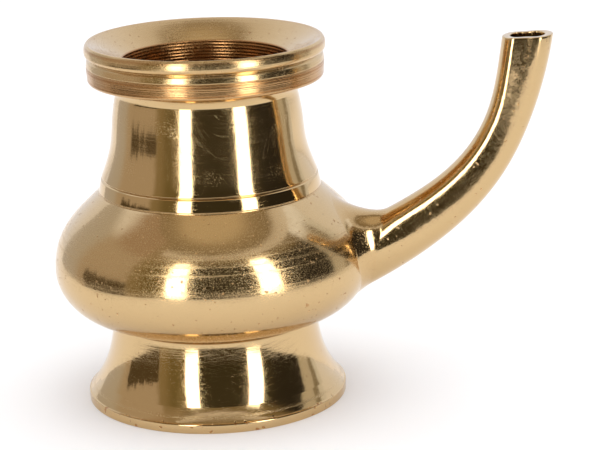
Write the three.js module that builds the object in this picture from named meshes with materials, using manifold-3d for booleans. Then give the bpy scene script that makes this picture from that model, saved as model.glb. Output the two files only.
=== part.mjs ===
// A cast brass pouring jug: a dished mouth and a long neck on a squat round belly, with a flared foot and a
// curved spout. Millimetres, +Z up. It stands on Z = 0 and the spout runs along +X.
//
// The jug is four castings, brazed together: foot, belly, neck and spout. The foot, belly and neck are turned
// all over. They meet on flat faces with a film of filler between, and a step in each pair centres them. The
// spout is a hollow, bent and tapered casting. Its root is saddled to the belly over a hole, and a fillet of
// filler lies in the corner all round it.
import * as THREE from "three";
import { mergeVertices } from "three/addons/utils/BufferGeometryUtils.js";
import Module from "manifold-3d";

const wasm = await Module();
wasm.setup();

// Fineness of the facets
const TURNED_SIDES = 52; // a multiple of four, so that the widest circle reaches its full width both ways
const CURVE_STEPS = 7;
const SPOUT_SIDES = 24;
const SPOUT_STEPS = 16;
const FILLET_STEPS = 4;

// Joints
const BRAZE_FILM = 0.4;
const CLEARANCE = 0.3;

// Foot
const FOOT_BASE_RADIUS = 34.2;
const FOOT_BAND_HEIGHT = 2.4; // the upright band that the jug stands on
const FOOT_BAND_STEP = 0.35; // how far inside the band the flare starts
const FOOT_WAIST_RADIUS = 26.8;
const FOOT_WAIST_HEIGHT = 21.0;
const FOOT_TOP_RADIUS = 29.6;
const FOOT_HEIGHT = 22.8;
const FOOT_WALL = 2.2;
const FOOT_BASE_CHAMFER = 0.4;

// Belly
const BELLY_RADIUS = 41.4;
const BELLY_WIDEST_HEIGHT = 35.8;
const BELLY_WALL = 2.4;
const BELLY_FLOOR_DROP = 2.6; // how far the floor hangs down inside the foot
const BELLY_REGISTER = 1.2; // height of the step that centres the belly in the foot

// Neck
const COLLAR_RADIUS = 29.0;
const COLLAR_TOP_RADIUS = 28.3;
const COLLAR_SEAT_HEIGHT = 56.0; // flat top of the belly, under the collar
const COLLAR_SEAT_WIDTH = 2.2;
const COLLAR_HEIGHT = 3.7;
const COLLAR_GROOVE = 0.35; // depth of the turned line over the collar
const NECK_RADIUS = 23.6; // the narrowest circle of the neck, under the mouth's beads
const NECK_BORE_RADIUS = 21.4;
const NECK_WALL = 2.4;
const SPIGOT_LENGTH = 2.8; // the step that centres the neck in the belly
const SPIGOT_WALL = 1.8;

// Mouth, with its circles given by how far they lie below the crest of the lip
const MOUTH_HEIGHT = 95.2; // crest of the lip
const LIP_RADIUS = 31.0;
const LIP_WIDEST_DROP = 2.3;
const LIP_CREST_WIDTH = 0.8;
const GROOVE_RADIUS = 29.9;
const GROOVE_DROP = 3.8; // the groove between lip and lower bead
const BEAD_RADIUS = 30.65;
const BEAD_LINE_DROP = 6.0; // a fine turned line round the lower bead
const BEAD_LINE_DEPTH = 0.25;
const BEAD_EDGE_RADIUS = 30.0;
const BEAD_EDGE_DROP = 10.1; // the lower bead's bottom corner
const BEAD_EDGE_ROUND = 1.1; // height of the rounding over that corner
const BEAD_LEAN = 0.2; // how much the lower bead widens from its rounding up to the turned line
const NECK_DROP = 13.8; // the narrowest circle of the neck
const DISH_DEPTH = 4.7; // how far the dished mouth falls from lip to throat

// Spout
const SPOUT_WALL = 2.0;
const SPOUT_START = { reach: 36.0, height: 36.0, pull: 36.6, degrees: 27.6 }; // inside the belly's outline
const SPOUT_MOUTH = { reach: 82.5, height: 95.8, pull: 31.5, degrees: 82 };
const SPOUT_ROOT_RADIUS = 7.9;
const SPOUT_WAIST_RADIUS = 5.5;
const SPOUT_WAIST_PLACE = 0.7; // as a share of the centreline
const SPOUT_TIP_RADIUS = 6.3;
const SPOUT_MOUTH_DEGREES = 3; // how much the cut mouth rises outwards
const SPOUT_HOLE_RADIUS = 5.6; // the hole through the belly's wall

// The spout's two sides are filed flat, from past the root to the mouth, and deepest at the mouth
const FLAT_DEGREES = 82; // where the middle of a flat lies, turned from the spout's upper side
const FLAT_SHARE = 0.86; // how near the flat comes to the centreline, as a share of the waist's radius
const FLAT_SHARPNESS = 16; // higher leaves sharper edges along the flat
const FLAT_STARTS = 0.1; // as shares of the centreline
const FLAT_FULL = 0.28;
const FLAT_AT_MOUTH = 1.6; // how many times deeper the flats are at the mouth

// The filler round the spout's root spreads this far along the belly and up the spout
const FILLET_OVER = 9.0; // on the upper side, where the corner is deepest
const FILLET_UNDER = 2.6;
const FILLET_FULLNESS = 0.4; // 0 is a flat slope from face to skin, and 1 is drawn right into the corner
const ROOT_BEVEL = 1.2; // how far the spout's edge is bevelled inwards for the filler
const BEVEL_SHARE = 0.6; // height of the bevel, as a share of the fillet's

const BRASS = 0xd8b36c;
const FILLER = 0xcfae6e;
const FINISH = {
  polished: { color: BRASS, metalness: 1, roughness: 0.14 },
  turned: { color: BRASS, metalness: 1, roughness: 0.22 },
  filler: { color: FILLER, metalness: 1, roughness: 0.3 },
};

const radians = THREE.MathUtils.degToRad;
const lerp = THREE.MathUtils.lerp;
const at = (radius, height) => new THREE.Vector2(radius, height);
const direction = (degrees) => at(Math.cos(radians(degrees)), Math.sin(radians(degrees)));

// A stretch of outline that leaves one point and arrives at another in given directions, which are in degrees
// from outwards
function sweep(from, leaving, to, arriving, pull = 0.4, steps = CURVE_STEPS) {
  const reach = from.distanceTo(to) * pull;
  const first = from.clone().addScaledVector(direction(leaving), reach);
  const second = to.clone().addScaledVector(direction(arriving), -reach);
  return new THREE.CubicBezierCurve(from, first, second, to).getPoints(steps);
}

// The same outline moved square to itself, to the left of the way it runs
function offset(points, distance) {
  return points.map((point, i) => {
    const before = points[Math.max(i - 1, 0)];
    const after = points[Math.min(i + 1, points.length - 1)];
    const along = after.clone().sub(before).normalize();
    return at(point.x - along.y * distance, point.y + along.x * distance);
  });
}

// A body turned about Z, from an outline that runs up the outside and down the inside
function turned(outline) {
  return new THREE.LatheGeometry(outline, TURNED_SIDES).rotateX(Math.PI / 2);
}

const ring = (inner, outer, bottom, top) =>
  turned([at(inner, bottom), at(outer, bottom), at(outer, top), at(inner, top), at(inner, bottom)]);

// A geometry as a solid for cutting, and a cut solid as a geometry
function solid(geometry) {
  const bare = geometry.clone();
  bare.deleteAttribute("normal");
  bare.deleteAttribute("uv");
  const merged = mergeVertices(bare, 1e-4);
  return new wasm.Manifold(
    new wasm.Mesh({
      numProp: 3,
      vertProperties: merged.attributes.position.array,
      triVerts: new Uint32Array(merged.index.array),
    }),
  );
}

function geometryOf(made) {
  const mesh = made.getMesh();
  const geometry = new THREE.BufferGeometry();
  geometry.setAttribute("position", new THREE.BufferAttribute(new Float32Array(mesh.vertProperties), 3));
  geometry.setIndex(new THREE.BufferAttribute(new Uint32Array(mesh.triVerts), 1));
  geometry.computeVertexNormals();
  return geometry;
}

// A closed body through a row of rings of points, with a cap at each end
function loft(rings) {
  const sides = rings[0].length;
  const middle = (points) =>
    points.reduce((sum, point) => sum.add(point), new THREE.Vector3()).divideScalar(points.length);
  const points = [...rings.flat(), middle(rings[0]), middle(rings.at(-1))];
  const [firstCap, lastCap] = [points.length - 2, points.length - 1];
  const lastRing = (rings.length - 1) * sides;
  const faces = [];
  for (let s = 0; s < sides; s++) {
    const next = (s + 1) % sides;
    for (let r = 0; r < lastRing; r += sides)
      faces.push(r + s, r + next, r + sides + next, r + s, r + sides + next, r + sides + s);
    faces.push(firstCap, next, s, lastCap, lastRing + s, lastRing + next);
  }
  const geometry = new THREE.BufferGeometry().setFromPoints(points);
  geometry.setIndex(faces);
  return geometry;
}

// Flat faces and steps that neighbours share
const BELLY_SEAT = FOOT_HEIGHT + BRAZE_FILM;
const NECK_SEAT = COLLAR_SEAT_HEIGHT + BRAZE_FILM;
const COLLAR_TOP = NECK_SEAT + COLLAR_HEIGHT;
const NECK_HEIGHT = MOUTH_HEIGHT - NECK_DROP;
const BEAD_EDGE_HEIGHT = MOUTH_HEIGHT - BEAD_EDGE_DROP;
const BEAD_LINE_HEIGHT = MOUTH_HEIGHT - BEAD_LINE_DROP;
const GROOVE_HEIGHT = MOUTH_HEIGHT - GROOVE_DROP;
const LIP_WIDEST_HEIGHT = MOUTH_HEIGHT - LIP_WIDEST_DROP;
const FOOT_TOP_BORE = FOOT_WAIST_RADIUS - FOOT_WALL;
const BELLY_OPENING = COLLAR_RADIUS - COLLAR_SEAT_WIDTH;
const SPIGOT_RADIUS = BELLY_OPENING - CLEARANCE;

// Outer faces of the turned castings, bottom to top
const footFlare = [
  ...sweep(
    at(FOOT_BASE_RADIUS - FOOT_BAND_STEP, FOOT_BAND_HEIGHT), 127,
    at(FOOT_WAIST_RADIUS, FOOT_WAIST_HEIGHT), 98, 0.42,
  ),
  ...sweep(
    at(FOOT_WAIST_RADIUS, FOOT_WAIST_HEIGHT), 98,
    at(FOOT_TOP_RADIUS, FOOT_HEIGHT), 26, 0.3, 4,
  ).slice(1),
];
const bellySide = [
  ...sweep(
    at(FOOT_TOP_RADIUS, BELLY_SEAT), 6,
    at(BELLY_RADIUS, BELLY_WIDEST_HEIGHT), 90, 0.36,
  ),
  ...sweep(
    at(BELLY_RADIUS, BELLY_WIDEST_HEIGHT), 90,
    at(COLLAR_RADIUS, COLLAR_SEAT_HEIGHT), 138, 0.4, CURVE_STEPS + 1,
  ).slice(1),
];
const neckCove = sweep(
  at(COLLAR_TOP_RADIUS - COLLAR_GROOVE / 2, COLLAR_TOP), 113,
  at(NECK_RADIUS, NECK_HEIGHT), 102, 0.5, CURVE_STEPS + 1,
);

// Foot: an upright band, a flare up to the waist and a flat seat, hollow underneath
function foot() {
  const inside = offset(footFlare, FOOT_WALL).filter((p) => p.x > FOOT_TOP_BORE && p.y < FOOT_WAIST_HEIGHT);
  return turned([
    at(FOOT_BASE_RADIUS - FOOT_WALL, 0),
    at(FOOT_BASE_RADIUS - FOOT_BASE_CHAMFER, 0),
    at(FOOT_BASE_RADIUS, FOOT_BASE_CHAMFER),
    at(FOOT_BASE_RADIUS, FOOT_BAND_HEIGHT),
    ...footFlare,
    at(FOOT_TOP_BORE, FOOT_HEIGHT),
    at(FOOT_TOP_BORE, FOOT_WAIST_HEIGHT),
    ...inside.slice(1).reverse(),
    at(FOOT_BASE_RADIUS - FOOT_WALL, FOOT_BAND_HEIGHT),
    at(FOOT_BASE_RADIUS - FOOT_WALL, 0),
  ]);
}

// Belly: a round pot with a thick floor that drops into the foot, open at the top under the neck
function belly() {
  const register = FOOT_TOP_BORE - CLEARANCE;
  const underneath = sweep(
    at(0, BELLY_SEAT - BELLY_FLOOR_DROP), 0,
    at(register, BELLY_SEAT - BELLY_REGISTER), 10,
  );
  const inside = offset(bellySide, BELLY_WALL).filter((p) => p.x > BELLY_OPENING);
  const floor = sweep(at(0, BELLY_SEAT - BELLY_FLOOR_DROP + BELLY_WALL), 0, inside[0], 22);
  return turned([
    ...underneath,
    at(register, BELLY_SEAT),
    ...bellySide,
    at(BELLY_OPENING, COLLAR_SEAT_HEIGHT),
    ...inside.slice(1).reverse(),
    ...floor.reverse(),
  ]);
}

// Neck: a spigot and collar, a long cove, two beads with a groove between them, and a dished mouth
function neck() {
  const throatHeight = MOUTH_HEIGHT - DISH_DEPTH;
  const dishEdge = LIP_RADIUS - 2 * LIP_CREST_WIDTH;
  const spigotBore = SPIGOT_RADIUS - SPIGOT_WALL;
  const inside = offset(neckCove, NECK_WALL).filter((p) => p.x > NECK_BORE_RADIUS && p.x < spigotBore);
  const underBead = sweep(
    at(NECK_RADIUS, NECK_HEIGHT), 60,
    at(BEAD_EDGE_RADIUS, BEAD_EDGE_HEIGHT), 42, 0.35, 4,
  );
  const beadEdge = sweep(
    at(BEAD_EDGE_RADIUS, BEAD_EDGE_HEIGHT), 42,
    at(BEAD_RADIUS - BEAD_LEAN, BEAD_EDGE_HEIGHT + BEAD_EDGE_ROUND), 88, 0.4, 2,
  );
  const lip = [
    ...sweep(at(GROOVE_RADIUS, GROOVE_HEIGHT), 30, at(LIP_RADIUS, LIP_WIDEST_HEIGHT), 90, 0.38, 3),
    ...sweep(
      at(LIP_RADIUS, LIP_WIDEST_HEIGHT), 90,
      at(LIP_RADIUS - LIP_CREST_WIDTH, MOUTH_HEIGHT), 150, 0.36, 4,
    ).slice(1),
  ];
  const dish = sweep(
    at(dishEdge, MOUTH_HEIGHT - LIP_CREST_WIDTH / 4), 202,
    at(NECK_BORE_RADIUS, throatHeight), 214, 0.3, 3,
  );
  return turned([
    at(spigotBore, NECK_SEAT - SPIGOT_LENGTH),
    at(SPIGOT_RADIUS, NECK_SEAT - SPIGOT_LENGTH),
    at(SPIGOT_RADIUS, NECK_SEAT),
    at(COLLAR_RADIUS, NECK_SEAT),
    at(COLLAR_TOP_RADIUS, COLLAR_TOP - 2 * COLLAR_GROOVE),
    at(COLLAR_TOP_RADIUS - 1.5 * COLLAR_GROOVE, COLLAR_TOP - COLLAR_GROOVE),
    ...neckCove,
    ...underBead.slice(1),
    ...beadEdge.slice(1),
    at(BEAD_RADIUS, BEAD_LINE_HEIGHT - BEAD_LINE_DEPTH),
    at(BEAD_RADIUS - BEAD_LINE_DEPTH, BEAD_LINE_HEIGHT),
    at(BEAD_RADIUS, BEAD_LINE_HEIGHT + BEAD_LINE_DEPTH),
    at(BEAD_RADIUS - BEAD_LINE_DEPTH, lerp(BEAD_LINE_HEIGHT, GROOVE_HEIGHT, 0.75)),
    ...lip,
    ...dish,
    at(NECK_BORE_RADIUS, inside.at(-1).y),
    ...inside.slice(0, -1).reverse(),
    at(spigotBore, NECK_SEAT - SPIGOT_LENGTH),
  ]);
}

// The belly's outer form as one closed body, grown by a gap, to cut what is fitted against it
function bellyForm(gap) {
  const grown = offset(bellySide, -gap);
  return solid(turned([at(0, grown[0].y), ...grown, at(0, grown.at(-1).y)]));
}

// The belly's outer radius at a height
function bellyRadius(height) {
  const above = bellySide.findIndex((p) => p.y > height);
  const [low, high] = [bellySide[above - 1], bellySide[above]];
  return lerp(low.x, high.x, (height - low.y) / (high.y - low.y));
}

// Centreline of the spout, in the plane of the jug's axis
function endOf({ reach, height, pull, degrees }, way) {
  const point = new THREE.Vector3(reach, 0, height);
  const along = new THREE.Vector3(Math.cos(radians(degrees)), 0, Math.sin(radians(degrees)));
  return [point, point.clone().addScaledVector(along, way * pull)];
}
const [startPoint, startPull] = endOf(SPOUT_START, 1);
const [mouthPoint, mouthPull] = endOf(SPOUT_MOUTH, -1);
const spoutLine = new THREE.CubicBezierCurve3(startPoint, startPull, mouthPull, mouthPoint);
const spoutLength = spoutLine.getLength();
const sideways = new THREE.Vector3(0, 1, 0);

// The spout narrows from its root to a waist past the bend and opens again to its mouth
function spoutRadius(share) {
  const { smoothstep } = THREE.MathUtils;
  return (
    SPOUT_WAIST_RADIUS +
    (SPOUT_ROOT_RADIUS - SPOUT_WAIST_RADIUS) * (1 - smoothstep(share, 0, SPOUT_WAIST_PLACE)) +
    (SPOUT_TIP_RADIUS - SPOUT_WAIST_RADIUS) * smoothstep(share, SPOUT_WAIST_PLACE, 1)
  );
}

// Away from the centreline at a share of it, turned from the spout's upper side
function outward(share, turn) {
  const above = sideways.clone().negate().cross(spoutLine.getTangentAt(share)).normalize();
  return above.multiplyScalar(Math.cos(turn)).addScaledVector(sideways, -Math.sin(turn));
}

// How deep the flats are filed, at a share of the centreline and a turn from the spout's upper side
function filed(share, turn) {
  const { smoothstep } = THREE.MathUtils;
  const fromUpper = Math.acos(Math.cos(turn)); // the same on both sides
  const across = Math.max(Math.cos(fromUpper - radians(FLAT_DEGREES)), 0);
  const left = (1 + (across / FLAT_SHARE) ** FLAT_SHARPNESS) ** (-1 / FLAT_SHARPNESS);
  const rise = smoothstep(share, FLAT_STARTS, FLAT_FULL);
  const deeper = lerp(1, FLAT_AT_MOUTH, smoothstep(share, SPOUT_WAIST_PLACE, 1));
  return SPOUT_WAIST_RADIUS * (1 - left) * rise * deeper;
}

// A point on the spout's skin, grown by a gap; past its ends the spout runs straight on
function skin(share, turn, grow) {
  const within = THREE.MathUtils.clamp(share, 0, 1);
  return spoutLine
    .getPointAt(within)
    .addScaledVector(spoutLine.getTangentAt(within), (share - within) * spoutLength)
    .addScaledVector(outward(within, turn), spoutRadius(within) - filed(within, turn) + grow);
}

const turns = Array.from({ length: SPOUT_SIDES }, (_, s) => (s / SPOUT_SIDES) * 2 * Math.PI);
const evenly = (from, to, steps) => Array.from({ length: steps + 1 }, (_, i) => lerp(from, to, i / steps));
const PAST_MOUTH = 1.08; // the loft runs past the mouth, which a cut then trims

// The share of the centreline at which a line along the spout's skin comes out of the belly
function emergence(turn, grow) {
  let [inside, outside] = [0, 0.5];
  while (outside - inside > 1e-5) {
    const middle = (inside + outside) / 2;
    const point = skin(middle, turn, grow);
    if (Math.hypot(point.x, point.y) < bellyRadius(point.z)) inside = middle;
    else outside = middle;
  }
  return outside;
}

// How far the fillet reaches at a turn: widest on the upper side
const filletReach = (turn) => lerp(FILLET_UNDER, FILLET_OVER, ((1 + Math.cos(turn)) / 2) ** 2);
const intoCorner = (edge, corner) => edge.clone().lerp(corner, FILLET_FULLNESS);

// The spout's body down to its root on the belly, where its skin is led to a foot on the belly's face. The foot
// lies out from the corner between skin and face, or in from it where out is negative, and the change of shape
// starts at a height up the skin. With a hollow corner it is a fillet, and without one a straight bevel.
function rootedSpout(grow, { out, up, hollow, end }) {
  const lines = turns.map((turn) => {
    const corner = emergence(turn, grow);
    const cornerPoint = skin(corner, turn, grow);
    const foot = cornerPoint.clone().addScaledVector(outward(corner, turn), out(turn));
    const ontoBelly = bellyRadius(foot.z) / Math.hypot(foot.x, foot.y);
    foot.x *= ontoBelly;
    foot.y *= ontoBelly;
    const start = corner + up(turn) / spoutLength;
    const head = skin(start, turn, grow);
    const bend = hollow
      ? new THREE.CubicBezierCurve3(foot, intoCorner(foot, cornerPoint), intoCorner(head, cornerPoint), head)
      : new THREE.LineCurve3(foot, head);
    const sunk = foot.clone().lerp(startPoint, 0.4);
    const body = evenly(start, end, SPOUT_STEPS).slice(1).map((place) => skin(place, turn, grow));
    return [sunk, ...bend.getPoints(hollow ? FILLET_STEPS : 1), ...body];
  });
  return solid(loft(lines[0].map((_, i) => lines.map((line) => line[i]))));
}
const FILLET = { out: filletReach, up: filletReach, hollow: true, end: SPOUT_WAIST_PLACE };
const BEVEL = {
  out: () => -ROOT_BEVEL,
  up: (turn) => filletReach(turn) * BEVEL_SHARE,
  hollow: false,
  end: PAST_MOUTH,
};

// All that lies below the cut of the spout's mouth
const TRIM_BLOCK = 4 * SPOUT_MOUTH.height;
const belowMouth = new THREE.BoxGeometry(TRIM_BLOCK, TRIM_BLOCK, TRIM_BLOCK)
  .translate(0, 0, -TRIM_BLOCK / 2)
  .rotateY(-radians(SPOUT_MOUTH_DEGREES))
  .translate(SPOUT_MOUTH.reach, 0, SPOUT_MOUTH.height);

// Spout: the bent tube, bored right through, saddled to the belly with a bevelled edge and cut off at the mouth
function spout() {
  const bore = evenly(-0.1, PAST_MOUTH + 0.02, SPOUT_STEPS).map((share) =>
    turns.map((turn) => skin(share, turn, -SPOUT_WALL)),
  );
  return rootedSpout(0, BEVEL)
    .subtract(solid(loft(bore)))
    .subtract(bellyForm(CLEARANCE))
    .intersect(solid(belowMouth));
}

// The fillet of filler between the spout's bevelled edge and the belly
function spoutFillet() {
  return rootedSpout(0, FILLET).subtract(rootedSpout(CLEARANCE, BEVEL)).subtract(bellyForm(CLEARANCE));
}

// The hole that opens the spout into the belly, along the spout's own line
function spoutHole() {
  return solid(
    new THREE.CylinderGeometry(SPOUT_HOLE_RADIUS, SPOUT_HOLE_RADIUS, 8 * BELLY_WALL, SPOUT_SIDES)
      .rotateZ(-Math.PI / 2)
      .rotateY(-radians(SPOUT_START.degrees))
      .translate(SPOUT_START.reach, 0, SPOUT_START.height),
  );
}

const jug = new THREE.Group();
function piece(name, geometry, finish) {
  const mesh = new THREE.Mesh(geometry, new THREE.MeshStandardMaterial(finish));
  mesh.name = name;
  jug.add(mesh);
}

piece("foot", foot(), FINISH.polished);
piece("foot_braze", ring(FOOT_TOP_BORE, FOOT_TOP_RADIUS, FOOT_HEIGHT, BELLY_SEAT), FINISH.filler);
piece("belly", geometryOf(solid(belly()).subtract(spoutHole())), FINISH.polished);
piece("neck_braze", ring(BELLY_OPENING, COLLAR_RADIUS, COLLAR_SEAT_HEIGHT, NECK_SEAT), FINISH.filler);
piece("neck", neck(), FINISH.turned);
piece("spout", geometryOf(spout()), FINISH.polished);
piece("spout_braze", geometryOf(spoutFillet()), FINISH.filler);

// The part's origin is the middle of its base rectangle
const extent = new THREE.Box3().setFromObject(jug);
jug.position.x = -(extent.min.x + extent.max.x) / 2;

export default jug;
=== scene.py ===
# %% [markdown]
# A cast brass pouring jug
#
# This lesson dresses a packed CAD model of a small brass jug: a flared foot, a squat belly, a long neck
# with a dished mouth, and a curved spout. The CAD model is the fixed frame. It says where every piece is
# and how large it may be, and the pieces made here stand on it. The frame is loaded first.

# %% Load the frame
import math

import bpy
import numpy as np
from mathutils import Matrix, Vector


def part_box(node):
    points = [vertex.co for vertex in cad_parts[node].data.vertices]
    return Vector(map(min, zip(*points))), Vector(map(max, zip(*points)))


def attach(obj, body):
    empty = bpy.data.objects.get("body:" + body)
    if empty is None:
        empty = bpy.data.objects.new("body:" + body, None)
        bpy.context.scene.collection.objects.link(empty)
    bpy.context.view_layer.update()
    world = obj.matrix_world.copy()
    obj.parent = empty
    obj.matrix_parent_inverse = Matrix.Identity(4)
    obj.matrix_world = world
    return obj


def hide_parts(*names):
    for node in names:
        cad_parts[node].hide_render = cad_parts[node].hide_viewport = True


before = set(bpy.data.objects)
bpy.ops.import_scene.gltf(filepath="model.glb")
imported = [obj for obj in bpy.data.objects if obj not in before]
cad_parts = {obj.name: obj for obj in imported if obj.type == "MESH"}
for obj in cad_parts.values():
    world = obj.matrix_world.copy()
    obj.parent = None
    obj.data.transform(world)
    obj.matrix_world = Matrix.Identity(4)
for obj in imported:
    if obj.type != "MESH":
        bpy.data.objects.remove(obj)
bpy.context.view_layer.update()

MM = 0.001
foot_low, foot_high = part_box("foot")
_, neck_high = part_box("neck")
AXIS_X = (foot_low.x + foot_high.x) / 2
print("the jug's axis is at x =", round(AXIS_X / MM, 2), "mm; its lip at", round(neck_high.z / MM, 2), "mm")

# %% [markdown]
# Outlines
#
# The foot, belly and neck of the real jug were turned on a lathe, so each is one outline swung round the
# axis. It could be drawn by eye as a spline. Here it is a row of points (radius, height) in millimetres
# that is worked out from sizes, so one number changes one size. Curved stretches are Bezier curves that
# leave a point and arrive at the next in given directions, which is how a turner thinks of a cove or a
# bead. Real edges are never razor sharp, so each corner is eased by a small curve, which catches a thin
# line of light.

# %% Curves and eased corners
CURVE_STEPS = 26
CORNER_DEGREES = 16  # a sharper turn than this is a corner
EASE_STEPS = 4
EASE_LIMIT = 0.45  # the most that easing takes of a neighbouring edge
SAME_SPOT = 1e-4


def heading(degrees):
    """A step of length one in a direction."""
    return np.array([math.cos(math.radians(degrees)), math.sin(math.radians(degrees))])


def bezier(start, first, second, end, steps):
    """Points along a Bezier curve with two handles."""
    t = np.linspace(0, 1, steps + 1)[:, None]
    u = 1 - t
    return u**3 * start + 3 * u * u * t * first + 3 * u * t * t * second + t**3 * end


def sweep(start, leaving, end, arriving, pull=0.4, steps=CURVE_STEPS):
    """A stretch of outline between two points; directions are in degrees from outwards."""
    start, end = np.array(start, float), np.array(end, float)
    reach = np.linalg.norm(end - start) * pull
    return bezier(start, start + heading(leaving) * reach, end - heading(arriving) * reach, end, steps)


def outline(*stretches, closed=True):
    """Joins stretches and single points into one row of points, without doubles."""
    points = np.concatenate([np.atleast_2d(np.array(s, float)) for s in stretches])
    if closed:
        points = np.concatenate([points, points[:1]])
    steps = np.linalg.norm(np.diff(points, axis=0), axis=1)
    return points[np.concatenate([[True], steps > SAME_SPOT])]


def part_way(edge, size):
    """A step along an edge, of a size but never of most of the edge."""
    length = np.linalg.norm(edge)
    return edge / length * min(size, length * EASE_LIMIT)


def eased(points, size, closed=True):
    """The outline with each sharp corner replaced by a small curve, which starts and ends size from it."""
    row = points[:-1] if closed else points
    result = []
    for i, here in enumerate(row):
        back, on = row[i - 1] - here, row[(i + 1) % len(row)] - here
        turn = math.degrees(math.atan2(abs(back[0] * on[1] - back[1] * on[0]), -back @ on))
        at_end = not closed and i in (0, len(row) - 1)
        if at_end or turn < CORNER_DEGREES:
            result.append(here)
            continue
        for t in np.linspace(0, 1, EASE_STEPS + 1):
            first, last = here + part_way(back, size), here + part_way(on, size)
            result.append((1 - t) ** 2 * first + 2 * t * (1 - t) * here + t * t * last)
    if closed:
        result.append(result[0])
    return np.array(result)


def inset(points, distance):
    """The same row moved square to itself, to the left of the way it runs."""
    along = np.gradient(points, axis=0)
    along /= np.linalg.norm(along, axis=1)[:, None]
    return points + np.stack([-along[:, 1], along[:, 0]], 1) * distance


square = eased(outline((0, 0), (10, 0), (10, 10), (0, 10)), 1)
print("a square with eased corners has", len(square) - 1, "points")

# %% [markdown]
# Sizes of the turned pieces
#
# These are the real sizes in millimetres, the same as in the CAD model. They could be read off the frame's
# boxes, but a box doesn't say where a bead or a cove lies. Only the height of the mouth comes from the
# frame, and the circles of lip, bead and neck are measured down from it.

# %% Sizes
BRAZE_FILM = 0.4
CLEARANCE = 0.3  # between a step and the bore that it sits in

FOOT_BASE_RADIUS = 34.2
FOOT_BAND_HEIGHT = 2.4
FOOT_BAND_STEP = 0.35
FOOT_WAIST_RADIUS, FOOT_WAIST_HEIGHT = 26.8, 21.0
FOOT_TOP_RADIUS, FOOT_HEIGHT = 29.6, 22.8
FOOT_WALL = 2.2
FOOT_TOP_BORE = FOOT_WAIST_RADIUS - FOOT_WALL

BELLY_SEAT = FOOT_HEIGHT + BRAZE_FILM
BELLY_RADIUS, BELLY_WIDEST_HEIGHT = 41.4, 35.8
BELLY_WALL = 2.4
BELLY_FLOOR_DROP = 2.6
BELLY_REGISTER = 1.2  # the step under the belly that sits in the foot

COLLAR_RADIUS, COLLAR_SEAT_HEIGHT = 29.0, 56.0
COLLAR_SEAT_WIDTH = 2.2
COLLAR_HEIGHT = 3.7
COLLAR_TOP_RADIUS = 28.3
COLLAR_GROOVE = 0.35
NECK_SEAT = COLLAR_SEAT_HEIGHT + BRAZE_FILM
COLLAR_TOP = NECK_SEAT + COLLAR_HEIGHT
BELLY_OPENING = COLLAR_RADIUS - COLLAR_SEAT_WIDTH
SPIGOT_RADIUS = BELLY_OPENING - CLEARANCE
SPIGOT_LENGTH = 2.8
SPIGOT_WALL = 1.8

MOUTH_HEIGHT = neck_high.z / MM
NECK_RADIUS, NECK_HEIGHT = 23.6, MOUTH_HEIGHT - 13.8
NECK_BORE_RADIUS = 21.4
NECK_WALL = 2.4
BEAD_EDGE_RADIUS, BEAD_EDGE_HEIGHT = 30.0, MOUTH_HEIGHT - 10.1
BEAD_EDGE_ROUND = 1.1
BEAD_LEAN = 0.2
UNDERCUT_RADIUS, UNDERCUT_HEIGHT = 25.0, BEAD_EDGE_HEIGHT - 0.3
BEAD_RADIUS, BEAD_LINE_HEIGHT = 30.65, MOUTH_HEIGHT - 6.0
BEAD_LINE_DEPTH = 0.25
GROOVE_RADIUS, GROOVE_HEIGHT = 29.9, MOUTH_HEIGHT - 3.8
LIP_RADIUS, LIP_WIDEST_HEIGHT = 31.0, MOUTH_HEIGHT - 2.3
LIP_CREST_WIDTH = 0.8
DISH_DEPTH = 4.7

foot_flare = outline(
    sweep(
        (FOOT_BASE_RADIUS - FOOT_BAND_STEP, FOOT_BAND_HEIGHT), 127,
        (FOOT_WAIST_RADIUS, FOOT_WAIST_HEIGHT), 98, 0.42,
    ),
    sweep((FOOT_WAIST_RADIUS, FOOT_WAIST_HEIGHT), 98, (FOOT_TOP_RADIUS, FOOT_HEIGHT), 26, 0.3),
    closed=False,
)
belly_side = outline(
    sweep((FOOT_TOP_RADIUS, BELLY_SEAT), 6, (BELLY_RADIUS, BELLY_WIDEST_HEIGHT), 90, 0.36),
    sweep((BELLY_RADIUS, BELLY_WIDEST_HEIGHT), 90, (COLLAR_RADIUS, COLLAR_SEAT_HEIGHT), 138),
    closed=False,
)
neck_cove = sweep(
    (COLLAR_TOP_RADIUS - COLLAR_GROOVE / 2, COLLAR_TOP), 113,
    (NECK_RADIUS, NECK_HEIGHT), 102, 0.5, 44,
)


def belly_radius(height):
    """Outer radius of the belly at a height."""
    return float(np.interp(height, belly_side[:, 1], belly_side[:, 0]))


print("outline points: flare", len(foot_flare), "belly", len(belly_side), "cove", len(neck_cove))

# %% [markdown]
# Writing node trees
#
# Shapes and finishes are node trees. They could be wired by hand in the editor, but a tree that is written
# down can be read and changed in one place. Wire wraps an output socket, so that sums in Python become Math
# nodes, and every other kind of node comes from one method of Tree.

# %% Wires and trees
def operator(operation, swapped=False):
    """A method of Wire that adds one Math node."""

    def method(self, other):
        values = (other, self) if swapped else (self, other)
        return self.tree.maths(operation, *values)

    return method


class Wire:
    """An output socket of a tree. Sums of wires and numbers add Math nodes to the tree."""

    def __init__(self, tree, socket):
        self.tree, self.socket = tree, socket

    __add__ = __radd__ = operator("ADD")
    __mul__ = __rmul__ = operator("MULTIPLY")
    __sub__ = operator("SUBTRACT")
    __rsub__ = operator("SUBTRACT", swapped=True)
    __truediv__ = operator("DIVIDE")
    __rtruediv__ = operator("DIVIDE", swapped=True)
    __pow__ = operator("POWER")
    __gt__ = operator("GREATER_THAN")


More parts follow.
